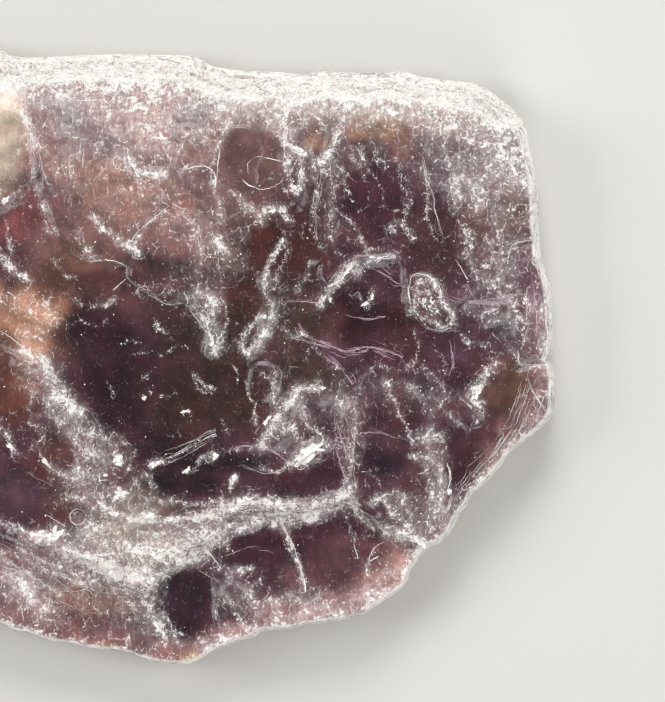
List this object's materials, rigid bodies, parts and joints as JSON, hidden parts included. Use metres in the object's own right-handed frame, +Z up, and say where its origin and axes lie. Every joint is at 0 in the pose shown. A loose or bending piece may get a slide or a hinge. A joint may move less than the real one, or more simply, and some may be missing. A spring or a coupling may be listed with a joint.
{
  "type": "lepidolite mica slab",
  "caption": "Flat cleaved slab of plum-coloured mica with stepped sheets, frosty crusts and a layered rim; lies on its underside.",
  "frame": {"origin": "under the middle of the slab's box, on the surface that it rests on", "axes": "+Z up out of the broad top face, +X along the slab's length towards the picture's right, +Y towards the bevelled top edge"},
  "size_m": [0.0746, 0.0622, 0.0074],
  "materials": {
    "lepidolite": "deep plum cleavage faces with a pearly gloss, granular white frost on torn edges"
  },
  "bodies": {
    "root": {"lepidolite_slab": "lepidolite"}
  },
  "joints": []
}
